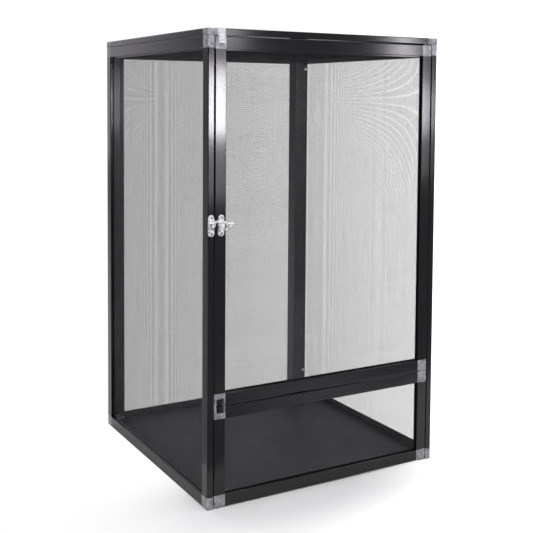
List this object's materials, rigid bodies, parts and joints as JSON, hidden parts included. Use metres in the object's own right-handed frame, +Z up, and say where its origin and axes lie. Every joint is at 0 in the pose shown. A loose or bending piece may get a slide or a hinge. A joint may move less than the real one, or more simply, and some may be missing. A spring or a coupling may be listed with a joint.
{
  "type": "reptile terrarium",
  "caption": "Tall mesh cage with black aluminium screen bars, metal corner keys, a large hinged front door, a low litter door, a hook latch and slide latches.",
  "frame": {"origin": "middle of the footprint, latch included, at the surface it stands on", "axes": "+Z up, +Y from the front doors to the back, +X across the front from the latch side to the hinge side"},
  "size_m": [0.452, 0.4602, 0.762],
  "materials": {
    "bar": "satin black coating",
    "key": "cast, satin",
    "mesh": "woven wire",
    "cord": "matt",
    "floor": "smooth sheet",
    "post": "satin black coating",
    "dowel": "moulded",
    "steel": "plain",
    "screw": "zinc plated",
    "chrome": "bright plated",
    "slide": "satin black coating"
  },
  "bodies": {
    "cage": {"left_front_stile": "bar", "left_rear_stile": "bar", "left_top_rail": "bar", "left_bottom_rail": "bar", "left_corner_keys": "key", "left_mesh": "mesh", "left_spline_cords": "cord", "right_front_stile": "bar", "right_rear_stile": "bar", "right_top_rail": "bar", "right_bottom_rail": "bar", "right_corner_keys": "key", "right_mesh": "mesh", "right_spline_cords": "cord", "back_left_stile": "bar", "back_right_stile": "bar", "back_top_rail": "bar", "back_bottom_rail": "bar", "back_corner_keys": "key", "back_mesh": "mesh", "back_spline_cords": "cord", "top_front_bar": "bar", "top_rear_bar": "bar", "top_left_bar": "bar", "top_right_bar": "bar", "top_corner_keys": "key", "top_keeper_key": "key", "top_mesh": "mesh", "top_spline_cords": "cord", "floor_sheet": "floor", "floor_front_bar": "post", "rear_corner_post": "post", "panel_dowels": "dowel", "hinge_pins": "steel", "middle_hinge_lug": "steel", "lower_hinge_lug": "steel", "frame_screws": "screw", "keeper_plate": "chrome"},
    "main_door": {"door_latch_stile": "bar", "door_hinge_stile": "bar", "door_top_rail": "bar", "door_bottom_rail": "bar", "door_corner_keys": "key", "door_mesh": "mesh", "door_spline_cords": "cord", "latch_plate": "chrome", "latch_plate_screws": "screw", "latch_pivot": "chrome", "slide_guide_pin": "steel"},
    "lower_door": {"lower_latch_stile": "bar", "lower_hinge_stile": "bar", "lower_top_rail": "bar", "lower_bottom_rail": "bar", "lower_corner_keys": "key", "lower_keeper_key": "key", "lower_mesh": "mesh", "lower_spline_cords": "cord"},
    "latch_lever": {"latch_lever": "chrome"},
    "top_slide_tab": {"top_slide_tab": "chrome"},
    "middle_slide_bar": {"middle_slide_bar": "slide"}
  },
  "joints": [
    {"name": "main_door_hinge", "type": "hinge", "parent": "cage", "child": "main_door", "pos_m": [0.20385, -0.2164, 0.451], "axis": [0, 0, 1], "range_deg": [0, 110]},
    {"name": "lower_door_hinge", "type": "hinge", "parent": "cage", "child": "lower_door", "pos_m": [0.20385, -0.2164, 0.082], "axis": [0, 0, 1], "range_deg": [0, 110]},
    {"name": "latch_lever_pivot", "type": "hinge", "parent": "main_door", "child": "latch_lever", "pos_m": [-0.20325, -0.2272, 0.454], "axis": [0, 1, 0], "range_deg": [0, 70]},
    {"name": "top_tab_slide", "type": "slide", "parent": "main_door", "child": "top_slide_tab", "axis": [-1, 0, 0], "range_m": [0, 0.0025]},
    {"name": "middle_bar_slide", "type": "slide", "parent": "main_door", "child": "middle_slide_bar", "axis": [-1, 0, 0], "range_m": [0, 0.0025]}
  ]
}
